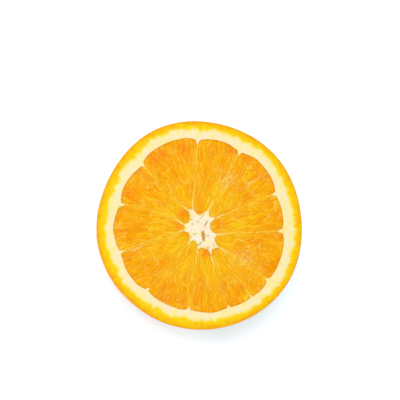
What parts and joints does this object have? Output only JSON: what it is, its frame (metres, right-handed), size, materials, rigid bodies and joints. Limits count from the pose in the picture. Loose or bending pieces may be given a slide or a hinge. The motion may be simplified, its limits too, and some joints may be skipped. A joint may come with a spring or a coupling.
{
  "type": "orange half",
  "caption": "Half of a round sweet orange, cut across its axis, lying on its dome with the segmented cut face up.",
  "frame": {"origin": "on the ground under the middle of the dome, at the centre of the patch that the half rests on", "axes": "+Z up along the fruit's own axis, out of the cut face; +Y is up on the cut face as it is seen from the front, and +X is to its right"},
  "size_m": [0.0754, 0.0762, 0.0371],
  "materials": {
    "peel": "waxy orange rind with fine oil-gland dimples, satin gloss",
    "pith": "soft cream-white pith, membranes and core, matt and slightly fibrous",
    "flesh": "wet translucent juice sacs with small highlights"
  },
  "bodies": {
    "root": {"orange_half": "peel"}
  },
  "joints": []
}
